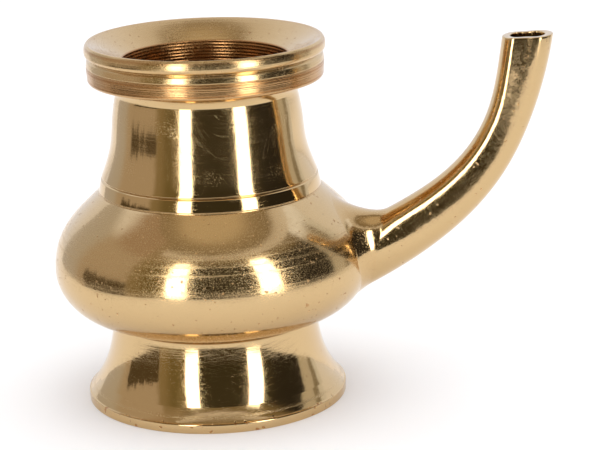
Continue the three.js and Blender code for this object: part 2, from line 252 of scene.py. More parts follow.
class Tree:
    """A node tree that is written in Python."""

    def __init__(self, graph):
        self.graph = graph

    @staticmethod
    def find(sockets, key):
        if isinstance(key, int):
            return sockets[key]
        return next(s for s in sockets if key in (s.identifier, s.name) and s.enabled)

    def node(self, kind, settings=None, sockets=None, out=0):
        """Adds a node: its settings first, then the values or links of its sockets. Returns one output."""
        made = self.graph.nodes.new(kind)
        for name, value in (settings or {}).items():
            setattr(made, name, value)
        for key, value in (sockets or {}).items():
            socket = self.find(made.inputs, key)
            if isinstance(value, Wire):
                self.graph.links.new(value.socket, socket)
            else:
                socket.default_value = value
        return Wire(self, self.find(made.outputs, out))

    def lead(self, wire, node, socket):
        """Links a wire to a node that the tree already has."""
        self.graph.links.new(wire.socket, self.graph.nodes[node].inputs[socket])

    def maths(self, operation, *values):
        return self.node("ShaderNodeMath", {"operation": operation}, dict(enumerate(values)))

    def vector(self, operation, *values):
        return self.node("ShaderNodeVectorMath", {"operation": operation}, dict(enumerate(values)))

    def scaled(self, vector, factor):
        return self.node("ShaderNodeVectorMath", {"operation": "SCALE"}, {0: vector, "Scale": factor})

    def combine(self, x, y, z):
        return self.node("ShaderNodeCombineXYZ", None, {0: x, 1: y, 2: z})

    def split(self, vector):
        first = self.node("ShaderNodeSeparateXYZ", None, {0: vector})
        return [Wire(self, s) for s in first.socket.node.outputs]

    def step(self, value, low, high, start=0.0, end=1.0):
        """A soft change from start to end, while the value goes from low to high."""
        sockets = {"Value": value, "From Min": low, "From Max": high, "To Min": start, "To Max": end}
        return self.node("ShaderNodeMapRange", {"interpolation_type": "SMOOTHSTEP"}, sockets)

    def mix(self, factor, first, second):
        """A colour between two others."""
        sockets = {"Factor_Float": factor, "A_Color": first, "B_Color": second}
        return self.node("ShaderNodeMix", {"data_type": "RGBA"}, sockets, "Result_Color")


print("a tree knows:", ", ".join(name for name in vars(Tree) if not name.startswith("_")))

# %% [markdown]
# A lathe in Geometry Nodes
#
# Everything turned follows one rule: swing an outline round a line. A Screw modifier could do it for foot,
# belly and neck, whose line is the straight axis, but not for the spout, whose line is bent. One tree does
# both. It takes the outline as a row of points (radius in X, distance along the line in Z), lays a grid
# over the outline and the turns, and moves each grid point to its place beside the line. Past its ends the
# line runs straight on. Mouth Slant tips the last part of a piece, as on a tube that is cut at an angle.
# Filed Radius takes a flat off each side of a tube. The real spout was filed there, and its flats show as a
# dark band with a bright line beside it.

# %% The lathe tree
FLAT_DEGREES = 85  # where the middle of a flat lies, turned from the tube's upper side
FLAT_SHARE = 0.86  # how near the flat comes to the centreline, as a share of the filed radius
FLAT_SHARPNESS = 16  # higher leaves sharper edges along the flat
FLAT_STARTS, FLAT_FULL = 0.10, 0.28  # as shares of the line's length
FLAT_AT_MOUTH = 1.6  # how many times deeper the flats are at the mouth
SPOUT_WAIST_PLACE = 0.7
WELD_DISTANCE = 2e-6
SIDEWAYS = (0.0, 1.0, 0.0)
LATHE_INPUTS = {
    "Outline": "Geometry",
    "Line": "Object",
    "Sides": "Int",
    "Mouth Slant": "Float",
    "Slant From": "Float",
    "Filed Radius": "Float",
    "Sharp Edges": "Float",
    "Finish": "Material",
}


def filed_share(tree, turn, place):
    """Depth of the flats along both sides of a tube, as a share of the filed radius."""
    from_upper = tree.maths("ARCCOSINE", tree.maths("COSINE", turn))
    across = tree.maths("MAXIMUM", tree.maths("COSINE", from_upper - math.radians(FLAT_DEGREES)), 0.0)
    left = (1.0 + (across / FLAT_SHARE) ** FLAT_SHARPNESS) ** (-1 / FLAT_SHARPNESS)
    begun = tree.step(place, FLAT_STARTS, FLAT_FULL)
    return (1.0 - left) * (begun * tree.step(place, SPOUT_WAIST_PLACE, 1, 1, FLAT_AT_MOUTH))


def beside_line(tree, line, length, along, above, aside):
    """The place at a distance along a line, with steps from it to its upper side and sideways."""
    within = tree.maths("MINIMUM", tree.maths("MAXIMUM", along, 0.0), length)
    settings = {"mode": "LENGTH", "use_all_curves": True}
    spot = tree.node("GeometryNodeSampleCurve", settings, {"Curves": line, "Length": within}, "Position")
    tangent = Wire(tree, spot.socket.node.outputs["Tangent"])
    upward = tree.vector("CROSS_PRODUCT", tangent, SIDEWAYS)
    place = tree.vector("ADD", spot, tree.scaled(tangent, along - within))
    place = tree.vector("ADD", place, tree.scaled(upward, above))
    return tree.vector("ADD", place, tree.scaled(SIDEWAYS, aside))


def smooth_but_for(tree, shape, sharp):
    """Smooth shading, except at edges that turn by more than an angle."""
    angle = tree.node("GeometryNodeInputMeshEdgeAngle", None, None, "Unsigned Angle")
    shape = tree.node("GeometryNodeSetShadeSmooth", {"domain": "FACE"}, {0: shape, "Shade Smooth": True})
    edges = {0: shape, "Selection": angle > sharp, "Shade Smooth": False}
    return tree.node("GeometryNodeSetShadeSmooth", {"domain": "EDGE"}, edges)


def lathe_tree():
    group = bpy.data.node_groups.new("turned along a line", "GeometryNodeTree")
    for name, kind in LATHE_INPUTS.items():
        group.interface.new_socket(name, in_out="INPUT", socket_type="NodeSocket" + kind)
    group.interface.new_socket("Turned", in_out="OUTPUT", socket_type="NodeSocketGeometry")
    tree = Tree(group)
    given = {s.name: Wire(tree, s) for s in group.nodes.new("NodeGroupInput").outputs if s.name}

    relative = {"transform_space": "RELATIVE"}
    line = tree.node("GeometryNodeObjectInfo", relative, {"Object": given["Line"]}, "Geometry")
    length = tree.node("GeometryNodeCurveLength", None, {"Curve": line})
    rows = tree.node("GeometryNodeAttributeDomainSize", None, {"Geometry": given["Outline"]}, "Point Count")
    columns = given["Sides"] + 1
    grid = tree.node("GeometryNodeMeshGrid", None, {"Vertices X": rows, "Vertices Y": columns}, "Mesh")

    index = tree.node("GeometryNodeInputIndex")
    row = tree.maths("FLOOR", (index + 0.5) / columns)
    turn = (index - row * columns) * (2 * math.pi) / given["Sides"]
    spot = tree.node(
        "GeometryNodeSampleIndex",
        {"data_type": "FLOAT_VECTOR", "domain": "POINT", "clamp": True},
        {"Geometry": given["Outline"], "Value": tree.node("GeometryNodeInputPosition"), "Index": row},
    )
    radius, _, along = tree.split(spot)
    radius = radius - filed_share(tree, turn, along / length) * given["Filed Radius"]
    above = radius * tree.maths("COSINE", turn)
    aside = radius * tree.maths("SINE", turn)
    along = along + above * given["Mouth Slant"] * tree.step(along, given["Slant From"], length)
    place = beside_line(tree, line, length, along, above, aside)

    shape = tree.node("GeometryNodeSetPosition", None, {"Geometry": grid, "Position": place})
    shape = tree.node("GeometryNodeMergeByDistance", None, {"Geometry": shape, "Distance": WELD_DISTANCE})
    shape = smooth_but_for(tree, shape, given["Sharp Edges"])
    shape = tree.node("GeometryNodeRealizeInstances", None, {"Geometry": shape})
    shape = tree.node("GeometryNodeSetMaterial", None, {"Geometry": shape, "Material": given["Finish"]})
    group.links.new(shape.socket, group.nodes.new("NodeGroupOutput").inputs[0])
    return group


LATHE = lathe_tree()
print("lathe tree:", len(LATHE.nodes), "nodes")

# %% [markdown]
# Making a turned piece
#
# The outline becomes a chain of mesh edges, and the lathe tree turns it. The modifier's inputs are set by
# their identifiers before it first runs. The piece could keep its modifier, but a plain mesh is the same
# everywhere, so the result is taken as one. Its volume is printed as a check: it is positive only where the
# faces point outwards.

# %% Turned pieces
SIDES = 224
SHARP_DEGREES = 30
CM3 = MM**3 * 1000
INPUTS = {item.name: item.identifier for item in LATHE.interface.items_tree if item.in_out == "INPUT"}


def link(name, data):
    made = bpy.data.objects.new(name, data)
    bpy.context.scene.collection.objects.link(made)
    return made


def build(name, points, edges, faces, finish=None):
    """An object of a new mesh."""
    mesh = bpy.data.meshes.new(name)
    mesh.from_pydata(points, edges, faces)
    if finish:
        mesh.materials.append(finish)
    return link(name, mesh)


def straight_line(name, start, end):
    """A curve object of one straight stretch, in metres."""
    curve = bpy.data.curves.new(name, "CURVE")
    curve.dimensions = "3D"
    spline = curve.splines.new("POLY")
    spline.points.add(1)
    for point, place in zip(spline.points, (start, end)):
        point.co = (*place, 1)
    return link(name, curve)


def plain(piece):
    """The piece's evaluated shape as a mesh of its own, without modifiers."""
    shape = piece.evaluated_get(bpy.context.evaluated_depsgraph_get())
    made = bpy.data.meshes.new_from_object(shape)
    piece.modifiers.clear()
    piece.data = made
    made.name = piece.name


def volume(piece):
    """Signed volume in cubic centimetres."""
    total = 0.0
    piece.data.calc_loop_triangles()
    spots = piece.data.vertices
    for triangle in piece.data.loop_triangles:
        a, b, c = (spots[i].co for i in triangle.vertices)
        total += a.dot(b.cross(c)) / 6
    return total / CM3


def turn_piece(name, points, line, finish, sides=SIDES, slant=0.0, slant_from=0.0, filed=0.0):
    spots = [(r * MM, 0, z * MM) for r, z in points]
    piece = build(name, spots, [(i, i + 1) for i in range(len(spots) - 1)], [])
    lathe = piece.modifiers.new("lathe", "NODES")
    lathe.node_group = LATHE
    settings = {
        "Line": line,
        "Sides": sides,
        "Mouth Slant": slant,
        "Slant From": slant_from,
        "Filed Radius": filed,
        "Sharp Edges": math.radians(SHARP_DEGREES),
        "Finish": finish,
    }
    for key, value in settings.items():
        lathe[INPUTS[key]] = value
    plain(piece)
    print(name, len(piece.data.polygons), "faces,", round(volume(piece), 3), "cm3")
    return piece


jug_axis = straight_line("jug_axis", (AXIS_X, 0, 0), (AXIS_X, 0, 2 * MOUTH_HEIGHT * MM))
helpers = [jug_axis]

# %% [markdown]
# Brass that has been turned, filed and handled
#
# The jug is one metal all over, and what tells its pieces apart is how they were worked. Painted textures
# would need every piece unfolded, so the finishes are patterns, worked out in millimetres from the jug's
# axis. Bare metal has no colour of its own beside its reflections, so a finish is mostly roughness and
# relief. Small noise gives the grain of a polished casting, noise squeezed flat gives hairlines, and noise
# that only follows height and radius gives the rings of the lathe.

# %% Patterns in millimetres
BRASS = (0.62, 0.435, 0.22, 1)
# The darker brass of pits, spots and nicks; in the neck it is also painted shade in the throat and a painted
# dark reflection on the lower half of the bead.
BRASS_DEEP = (0.42, 0.20, 0.07, 1)
ROUGHEST = 0.6
SWAY_SIZE = 25  # the rings of the lathe wander over this length


class Finish(Tree):
    """The material of one piece of the jug, with the patterns that its surface is made of."""

    def __init__(self, name):
        self.material = bpy.data.materials.new(name)
        self.material.use_nodes = True
        super().__init__(self.material.node_tree)
        place = self.node("ShaderNodeTexCoord", None, None, "Object")
        settings = {"Vector": place, "Location": (-AXIS_X / MM, 0, 0), "Scale": (1 / MM, 1 / MM, 1 / MM)}
        self.spot = self.node("ShaderNodeMapping", None, settings)
        x, y, self.height = self.split(self.spot)
        self.radius = self.maths("SQRT", x * x + y * y)

    def grain(self, size, detail, seed, spot=None):
        """Noise from 0 to 1 whose blots are about size millimetres."""
        sockets = {"Vector": spot or self.spot, "W": seed, "Scale": 1 / size, "Detail": detail}
        return self.node("ShaderNodeTexNoise", {"noise_dimensions": "4D"}, sockets)

    def hairlines(self, tilt, width, length, seed, start=0.62):
        """Thin scratches: noise squeezed to width one way and drawn out to length the other two."""
        sockets = {"Vector": self.spot, "Rotation": tilt, "Scale": (length, length, width)}
        laid = self.node("ShaderNodeMapping", {"vector_type": "TEXTURE"}, sockets)
        return self.step(self.grain(1, 0, seed, laid), start, start + 0.1)

    def turning(self, pitch, seed):
        """Rings left by the lathe, which follow only the height and the radius."""
        sway = self.grain(SWAY_SIZE, 0, seed) * 0.3
        rings = self.combine(self.height / pitch + sway, self.radius / pitch, seed)
        return self.node("ShaderNodeTexNoise", None, {"Vector": rings, "Scale": 1, "Detail": 3})

    def flanks(self, pitch, seed):
        """Tool marks with a long flank that faces up and a short one that faces down."""
        return 1 - self.maths("FRACT", self.height / pitch + self.grain(SWAY_SIZE, 0, seed) * 0.5)

    def link_to_shader(self, darker, roughness, relief):
        """Links the finished patterns to the shader; relief is in millimetres."""
        bump = self.node("ShaderNodeBump", None, {"Strength": 1, "Distance": MM, "Height": relief})
        self.lead(self.mix(darker, BRASS, BRASS_DEEP), "Principled BSDF", "Base Color")
        self.lead(self.maths("MINIMUM", roughness, ROUGHEST), "Principled BSDF", "Roughness")
        self.lead(bump, "Principled BSDF", "Normal")
        self.graph.nodes["Principled BSDF"].inputs["Metallic"].default_value = 1.0
        print(self.material.name, "has", len(self.graph.nodes), "nodes")
        return self.material


finishes = {}
print("brass", BRASS[:3], "and where it is dull", BRASS_DEEP[:3])

# %% [markdown]
# Belly finish
#
# The belly was cast and polished by hand. It mirrors the room, dimmed by a fine grain, with hazy streaks
# round its shoulder, hairlines that cross, and a few pits. One roughness for all of it would be simpler,
# but would look new. The numbers in this and the next finishes are weights between patterns, set with the
# photograph.

# %% Belly finish
def belly_finish():
    made = Finish("belly_brass")
    fine = made.step(made.grain(0.17, 1, seed=1), 0.50, 0.70)
    streaks = made.step(made.turning(1.1, seed=7), 0.50, 0.72)
    haze = made.step(made.grain(11, 2, seed=2), 0.40, 0.65)
    lines = made.hairlines((0.25, 0.1, 0), 0.09, 8, seed=3)
    lines = lines + made.hairlines((-0.2, 0.3, 0.4), 0.10, 6, seed=4, start=0.66)
    pits = made.step(made.grain(0.8, 0, seed=6), 0.76, 0.80)
    tarnish = made.step(made.grain(2.2, 3, seed=8), 0.62, 0.8)
    shoulder = made.step(made.height, BELLY_WIDEST_HEIGHT - 2, BELLY_WIDEST_HEIGHT + 4)
    shoulder = shoulder * made.step(made.height, COLLAR_SEAT_HEIGHT - 4, COLLAR_SEAT_HEIGHT - 10)
    roughness = 0.05 + fine * 0.30 + shoulder * (streaks * 0.16 + haze * 0.06) + lines * 0.08 + pits * 0.3
    relief = fine * 0.003 - lines * 0.001 - pits * 0.05 + made.turning(0.5, seed=9) * 0.006
    relief = relief + made.grain(7, 1, seed=9) * 0.02
    return made.link_to_shader(tarnish * 0.10 + pits * 0.5, roughness, relief)


finishes["belly"] = belly_finish()

# %% [markdown]
# Foot finish
#
# The foot was turned and is handled most. It has rings from the lathe, brown spots and nicks in its band.
# Nicks could be cut into the mesh, but relief is enough for marks that only show in the shine. The same
# relief falls away with the height near the band. That leans the shading back, as on a worn edge, and the
# strips of light end there.

# %% Foot finish
LEAN_TOP = FOOT_BAND_HEIGHT + 3.6
LEAN_SLOPE = 0.10


def foot_finish():
    made = Finish("foot_brass")
    fine = made.step(made.grain(0.18, 1, seed=11), 0.54, 0.72)
    streaks = made.step(made.turning(0.9, seed=17), 0.54, 0.74)
    lines = made.hairlines((0.15, -0.1, 0), 0.09, 7, seed=13, start=0.66)
    lines = lines + made.hairlines((0.6, 0.5, 0.2), 0.09, 5, seed=14, start=0.68)
    spots = made.step(made.grain(1.6, 3, seed=15), 0.66, 0.76)
    low = made.step(made.height, FOOT_BAND_HEIGHT + 5, FOOT_BAND_HEIGHT)
    nicks = made.step(made.height, FOOT_BAND_HEIGHT + 0.6, FOOT_BAND_HEIGHT)
    nicks = nicks * made.step(made.grain(1.1, 0, seed=18), 0.70, 0.75)
    roughness = 0.04 + fine * 0.16 + lines * 0.10 + spots * 0.2 + streaks * (0.05 + low * 0.2)
    relief = fine * 0.002 - lines * 0.001 + made.turning(0.6, seed=12) * 0.006
    relief = relief + made.grain(6, 1, seed=16) * 0.015 - nicks * 0.15
    relief = relief - made.maths("MINIMUM", made.height, LEAN_TOP) * LEAN_SLOPE
    return made.link_to_shader(made.maths("MAXIMUM", spots * 0.5, nicks * 0.9), roughness, relief)


finishes["foot"] = foot_finish()

# %% [markdown]
# Neck finish
#
# The neck has grain and scuffs on its cove, tool marks in its throat, deep turning marks on bead and lip,
# and a darker spot here and there in the dish. Its throat and the lower half of its bead are painted darker:
# painted shade inside the bore, and a painted dark reflection on the bead. Each place could have its own
# material, but with a hard border. Here they are weights that follow height and radius in one material, so
# they fade into each other.

# %% Neck finish
TOOL_PITCH = 0.85


def neck_finish():
    made = Finish("neck_brass")
    outside = made.step(made.radius, LIP_RADIUS - 2.0, LIP_RADIUS - 1.2)
    bead = outside * made.step(made.height, GROOVE_HEIGHT, GROOVE_HEIGHT - 1)
    low_bead = outside * made.step(made.height, BEAD_LINE_HEIGHT + 0.1, BEAD_LINE_HEIGHT - 0.1)
    lip = outside * made.step(made.height, GROOVE_HEIGHT + 0.2, GROOVE_HEIGHT + 0.8)
    dish = (1 - outside) * made.step(made.height, MOUTH_HEIGHT - DISH_DEPTH - 2.5, MOUTH_HEIGHT - DISH_DEPTH)
    throat = made.step(made.radius, NECK_BORE_RADIUS + 0.4, NECK_BORE_RADIUS + 0.1)
    top = made.step(made.height, NECK_HEIGHT - 6, NECK_HEIGHT - 1)
    cove = made.step(made.height, COLLAR_TOP, COLLAR_TOP + 5)

    fine = made.step(made.grain(0.12, 1, seed=21), 0.48, 0.70)
    scuffs = made.step(made.grain(6.5, 3, seed=28), 0.48, 0.66)
    scuffs = scuffs * made.step(made.grain(0.35, 2, seed=29), 0.46, 0.62)
    lines = made.hairlines((0.1, 0.05, 0), 0.07, 9, seed=23, start=0.68)
    lines = lines + made.hairlines((1.3, 0.2, 0.3), 0.07, 6, seed=24, start=0.70)
    pits = dish * made.step(made.grain(0.9, 0, seed=25), 0.75, 0.79)
    tool = made.maths("SINE", made.height * (2 * math.pi / TOOL_PITCH)) * throat
    grooves = low_bead * made.step(made.turning(0.5, seed=31), 0.44, 0.60)
    lip_rings = lip * made.step(made.turning(0.6, seed=32), 0.48, 0.62)
    dish_spots = dish * made.step(made.grain(3, 3, seed=27), 0.5, 0.8)

    roughness = 0.04 + cove * (fine * 0.20 + scuffs * 0.22) + lines * 0.12 + dish * 0.12 + throat * 0.10
    roughness = roughness + outside * 0.08 + lip * 0.05 + grooves * 0.12 + pits * 0.2
    marks = made.turning(0.5, seed=22) * (0.008 + top * 0.03 + outside * 0.03 + bead * 0.02 + throat * 0.08)
    marks = marks + low_bead * made.flanks(0.55, seed=30) * 0.03 - grooves * 0.02
    relief = fine * 0.001 - lines * 0.001 + marks + tool * 0.02 - pits * 0.05
    relief = relief + made.grain(6, 1, seed=26) * 0.01
    # Painted shade and reflection: throat * 0.85 darkens the bore's brass for the shade inside it, and
    # low_bead * 0.5 is a painted dark reflection on the bead's lower half. The other weights make pits, the
    # turned rings of the low bead and the lip, and spots in the dish darker.
    darker = pits * 0.5 + throat * 0.85 + low_bead * 0.5 + grooves * 0.45 + lip_rings * 0.5 + dish_spots * 0.12
    return made.link_to_shader(darker, roughness, relief)


finishes["neck"] = neck_finish()

# %% [markdown]
# Spout finish
#
# The spout can't be turned, so it was filed and polished by hand. That leaves long soft waves and no rings.
# A smooth tube would mirror the strips as ruled lines. The waves bend them, as in the photograph.

# %% Spout finish
def spout_finish():
    made = Finish("spout_brass")
    fine = made.step(made.grain(0.14, 1, seed=31), 0.48, 0.70)
    lines = made.hairlines((0.5, 0.9, 0), 0.09, 6, seed=32, start=0.66)
    lines = lines + made.hairlines((-0.4, -0.6, 0.3), 0.09, 5, seed=33, start=0.68)
    pits = made.step(made.grain(0.8, 0, seed=34), 0.78, 0.82)
    waves = made.grain(3.2, 2, seed=35)
    roughness = 0.04 + fine * 0.20 + lines * 0.10 + pits * 0.3
    relief = fine * 0.002 - lines * 0.001 - pits * 0.03 + waves * 0.03
    darker = pits * 0.5 + made.step(made.grain(2.5, 3, seed=36), 0.6, 0.8) * 0.15
    return made.link_to_shader(darker, roughness, relief)


finishes["spout"] = spout_finish()

# %% [markdown]
# Filler finish
#
# Brazing filler is nearly the same brass, wiped smooth while hot and rubbed down. It could share the
# belly's material, but then the joints would vanish. It has low lumps, no hairlines and a softer shine.

# %% Filler finish
def filler_finish():
    made = Finish("braze_filler")
    fine = made.step(made.grain(0.30, 1, seed=41), 0.5, 0.72)
    lumps = made.grain(1.8, 2, seed=42)
    return made.link_to_shader(made.grain(1.2, 2, seed=43) * 0.15, 0.10 + fine * 0.24, lumps * 0.03 + fine * 0.004)


finishes["filler"] = filler_finish()

# %% [markdown]
# Foot
#
# The real foot is a hollow flared ring. It stands on an upright band, and a flat seat on top carries the
# belly. It could be a cone with a Solidify modifier, but then wall, seat and band would share one
# thickness. So its whole outline is drawn: up the outside, over the seat and down the inside. Its edges are
# the most worn.

# %% Foot
EDGE_EASE = 0.14
FOOT_EASE = 2 * EDGE_EASE


def foot_outline():
    inside = inset(foot_flare, FOOT_WALL)
    inside = inside[(inside[:, 0] > FOOT_TOP_BORE) & (inside[:, 1] < FOOT_WAIST_HEIGHT)]
    points = outline(
        (FOOT_BASE_RADIUS - FOOT_WALL, 0),
        (FOOT_BASE_RADIUS, 0),
        (FOOT_BASE_RADIUS, FOOT_BAND_HEIGHT),
        foot_flare,
        (FOOT_TOP_BORE, FOOT_HEIGHT),
        (FOOT_TOP_BORE, FOOT_WAIST_HEIGHT),
        inside[1:][::-1],
        (FOOT_BASE_RADIUS - FOOT_WALL, FOOT_BAND_HEIGHT),
    )
    return eased(points, FOOT_EASE)


foot = turn_piece("foot", foot_outline(), jug_axis, finishes["foot"])

# %% [markdown]
# Belly
#
# The belly is one squat casting. A step under its floor sits in the foot, and the flat round its opening
# carries the neck. It could be a squashed sphere, but its widest ring lies below the middle. So it is two
# Bezier stretches that meet at that ring, and the inside is the same curve moved in by the wall.

# %% Belly
def belly_outline():
    floor_height = BELLY_SEAT - BELLY_FLOOR_DROP
    register = FOOT_TOP_BORE - CLEARANCE
    inside = inset(belly_side, BELLY_WALL)
    inside = inside[inside[:, 0] > BELLY_OPENING]
    points = outline(
        sweep((0, floor_height), 0, (register, BELLY_SEAT - BELLY_REGISTER), 10),
        (register, BELLY_SEAT),
        belly_side,
        (BELLY_OPENING, COLLAR_SEAT_HEIGHT),
        inside[1:][::-1],
        sweep((0, floor_height + BELLY_WALL), 0, inside[0], 22)[::-1],
        closed=False,
    )
    return eased(points, EDGE_EASE, closed=False)


belly = turn_piece("belly", belly_outline(), jug_axis, finishes["belly"])

# %% [markdown]
# Neck
#
# The neck is a casting of its own: a spigot that sits in the belly, a collar with a turned line, a long
# cove, a bead with a line round its middle, a groove, and the lip round a dished mouth. It could be stacked
# from simple rings, but every joint would show. So one outline runs up the outside and down the bore.

# %% Neck
def mouth_stretches():
    """The outline from the top of the cove over bead, groove and lip to the throat."""
    bead_foot = (BEAD_RADIUS - BEAD_LEAN, BEAD_EDGE_HEIGHT + BEAD_EDGE_ROUND)
    bead_top = BEAD_LINE_HEIGHT + 0.75 * (GROOVE_HEIGHT - BEAD_LINE_HEIGHT)
    lip_side = (LIP_RADIUS, LIP_WIDEST_HEIGHT)
    crest = (LIP_RADIUS - LIP_CREST_WIDTH, MOUTH_HEIGHT)
    dish_edge = (LIP_RADIUS - 2 * LIP_CREST_WIDTH, MOUTH_HEIGHT - LIP_CREST_WIDTH / 4)
    return [
        sweep((NECK_RADIUS, NECK_HEIGHT), 92, (UNDERCUT_RADIUS, UNDERCUT_HEIGHT), 62),
        sweep((BEAD_EDGE_RADIUS, BEAD_EDGE_HEIGHT), 30, bead_foot, 88, steps=6),
        (BEAD_RADIUS, BEAD_LINE_HEIGHT - BEAD_LINE_DEPTH),
        (BEAD_RADIUS - BEAD_LINE_DEPTH, BEAD_LINE_HEIGHT),
        (BEAD_RADIUS, BEAD_LINE_HEIGHT + BEAD_LINE_DEPTH),
        (BEAD_RADIUS - BEAD_LINE_DEPTH, bead_top),
        sweep((GROOVE_RADIUS, GROOVE_HEIGHT), 30, lip_side, 90, 0.38, 10),
        sweep(lip_side, 90, crest, 150, 0.36, 14),
        sweep(dish_edge, 202, (NECK_BORE_RADIUS, MOUTH_HEIGHT - DISH_DEPTH), 214, 0.3),
    ]


def neck_outline():
    spigot_bore = SPIGOT_RADIUS - SPIGOT_WALL
    inside = inset(neck_cove, NECK_WALL)
    inside = inside[(inside[:, 0] > NECK_BORE_RADIUS) & (inside[:, 0] < spigot_bore)]
    points = outline(
        (spigot_bore, NECK_SEAT - SPIGOT_LENGTH),
        (SPIGOT_RADIUS, NECK_SEAT - SPIGOT_LENGTH),
        (SPIGOT_RADIUS, NECK_SEAT),
        (COLLAR_RADIUS, NECK_SEAT),
        (COLLAR_TOP_RADIUS, COLLAR_TOP - 2 * COLLAR_GROOVE),
        (COLLAR_TOP_RADIUS - 1.5 * COLLAR_GROOVE, COLLAR_TOP - COLLAR_GROOVE),
        neck_cove,
        *mouth_stretches(),
        (NECK_BORE_RADIUS, inside[-1][1]),
        inside[:-1][::-1],
    )
    return eased(points, EDGE_EASE)


neck = turn_piece("neck", neck_outline(), jug_axis, finishes["neck"])

# %% [markdown]
# Filler rings
#
# Brazing filler ran into the two flat joints and left creases that are a little hollow. A dark line in a
# texture could stand for a crease, but it would be dark in any light. A thin ring with a hollow edge shades
# itself.

# %% Filler rings
HOLLOW_DEGREES = 48


def filler_ring(name, inner, outer, bottom, top):
    edge = sweep((outer, bottom), 90 + HOLLOW_DEGREES, (outer, top), 90 - HOLLOW_DEGREES, steps=8)
    return turn_piece(name, outline((inner, bottom), edge, (inner, top)), jug_axis, finishes["filler"])


foot_braze = filler_ring("foot_braze", FOOT_TOP_BORE, FOOT_TOP_RADIUS, FOOT_HEIGHT, BELLY_SEAT)
neck_braze = filler_ring("neck_braze", BELLY_OPENING, COLLAR_RADIUS, COLLAR_SEAT_HEIGHT, NECK_SEAT)

# %% [markdown]
# Spout centreline
#
# The spout leaves the belly low, bends upwards and ends nearly upright. Its middle could be traced point by
# point. One Bezier stretch is smoother, and needs only a place, a direction and a pull at each end. Blender
# gets it as a curve object for the lathe tree. Python keeps it as a close row of points, from which the
# filler's place is worked out.

# %% Spout centreline
SPOUT_START = {"reach": 36.0, "height": 36.0, "pull": 36.6, "degrees": 27.6}
SPOUT_MOUTH = {"reach": 82.5, "height": 95.8, "pull": 31.5, "degrees": 82}
CURVE_RESOLUTION = 512
LINE_STEPS = 4000


def beside_axis(place):
    """A reach and a height in millimetres as a point in Blender, in the plane of the spout."""
    return Vector((AXIS_X + place[0] * MM, 0, place[1] * MM))


def spout_end(end, way):
    """The place of one end and of its handle, which lies ahead of it (1) or behind it (-1)."""
    place = np.array([end["reach"], end["height"]])
    return place, place + heading(end["degrees"]) * way * end["pull"]


def bezier_line(name, ends):
    """A curve object of one Bezier stretch."""
    curve = bpy.data.curves.new(name, "CURVE")
    curve.dimensions = "3D"
    curve.resolution_u = CURVE_RESOLUTION
    spline = curve.splines.new("BEZIER")
    spline.bezier_points.add(1)
    for knot, (place, handle) in zip(spline.bezier_points, ends):
        knot.handle_left_type = knot.handle_right_type = "FREE"
        knot.co = beside_axis(place)
        knot.handle_left = knot.handle_right = beside_axis(handle)
    return link(name, curve)


root, root_handle = spout_end(SPOUT_START, 1)
mouth, mouth_handle = spout_end(SPOUT_MOUTH, -1)
spout_line = bezier_line("spout_line", [(root, root_handle), (mouth, mouth_handle)])
helpers.append(spout_line)

line_spots = bezier(root, root_handle, mouth_handle, mouth, LINE_STEPS)
line_runs = np.concatenate([[0], np.cumsum(np.linalg.norm(np.diff(line_spots, axis=0), axis=1))])
SPOUT_LENGTH = line_runs[-1]
print("spout centreline", round(SPOUT_LENGTH, 2), "mm")

# %% [markdown]
# Spout skin
#
# The tube narrows from its root to a waist and opens a little at its mouth. The lathe tree knows where its
# flats are, but the filler can't ask the tree. Measuring the finished mesh would be rough, so the tree's
# rule is written here once more, in Python.

# %% Spout skin
SPOUT_ROOT_RADIUS, SPOUT_WAIST_RADIUS, SPOUT_TIP_RADIUS = 7.9, 5.5, 6.3


def smoothstep(value, low, high):
    t = np.clip((value - low) / (high - low), 0, 1)
    return t * t * (3 - 2 * t)


def spout_radius(run):
    """The tube's radius at a run along the centreline, before it was filed."""
    share = run / SPOUT_LENGTH
    at_root = (SPOUT_ROOT_RADIUS - SPOUT_WAIST_RADIUS) * (1 - smoothstep(share, 0, SPOUT_WAIST_PLACE))
    at_tip = (SPOUT_TIP_RADIUS - SPOUT_WAIST_RADIUS) * smoothstep(share, SPOUT_WAIST_PLACE, 1)
    return SPOUT_WAIST_RADIUS + at_root + at_tip


def filed(run, turn):
    """Depth of the flats along the tube's sides, by the lathe tree's own rule."""
    share = run / SPOUT_LENGTH
    across = max(math.cos(math.acos(math.cos(turn)) - math.radians(FLAT_DEGREES)), 0)
    left = (1 + (across / FLAT_SHARE) ** FLAT_SHARPNESS) ** (-1 / FLAT_SHARPNESS)
    deeper = 1 + (FLAT_AT_MOUTH - 1) * smoothstep(share, SPOUT_WAIST_PLACE, 1)
    return SPOUT_WAIST_RADIUS * (1 - left) * smoothstep(share, FLAT_STARTS, FLAT_FULL) * deeper


def spout_skin(run, turn, grow=0.0):
    """A point on the skin, turned from the tube's upper side, in millimetres from the jug's axis."""
    within = min(max(run, 0), SPOUT_LENGTH)
    i = min(int(np.searchsorted(line_runs, within, "right")), LINE_STEPS)
    before, step = line_spots[i - 1], line_spots[i] - line_spots[i - 1]
    spot = before + step * (within - line_runs[i - 1]) / (line_runs[i] - line_runs[i - 1])
    tangent = step / np.linalg.norm(step)
    upward = np.array([-tangent[1], tangent[0]])
    radius = spout_radius(within) - filed(within, turn) + grow
    level, height = spot + tangent * (run - within) + upward * radius * math.cos(turn)
    return np.array([level, radius * math.sin(turn), height])


across_mouth = 2 * spout_skin(SPOUT_LENGTH, math.pi / 2)[1]
print("the spout is", round(float(across_mouth), 2), "mm across at its mouth")

# %% [markdown]
# Spout tube
#
# The tube is hollow, its mouth was cut nearly level, and the rim is rubbed round. A Bevel modifier would
# depend on the mesh, so the rim is eased in the outline. The root has to fit the belly, so it is cut with a
# closed body of the belly's form. That gives the true line where two curved skins meet.

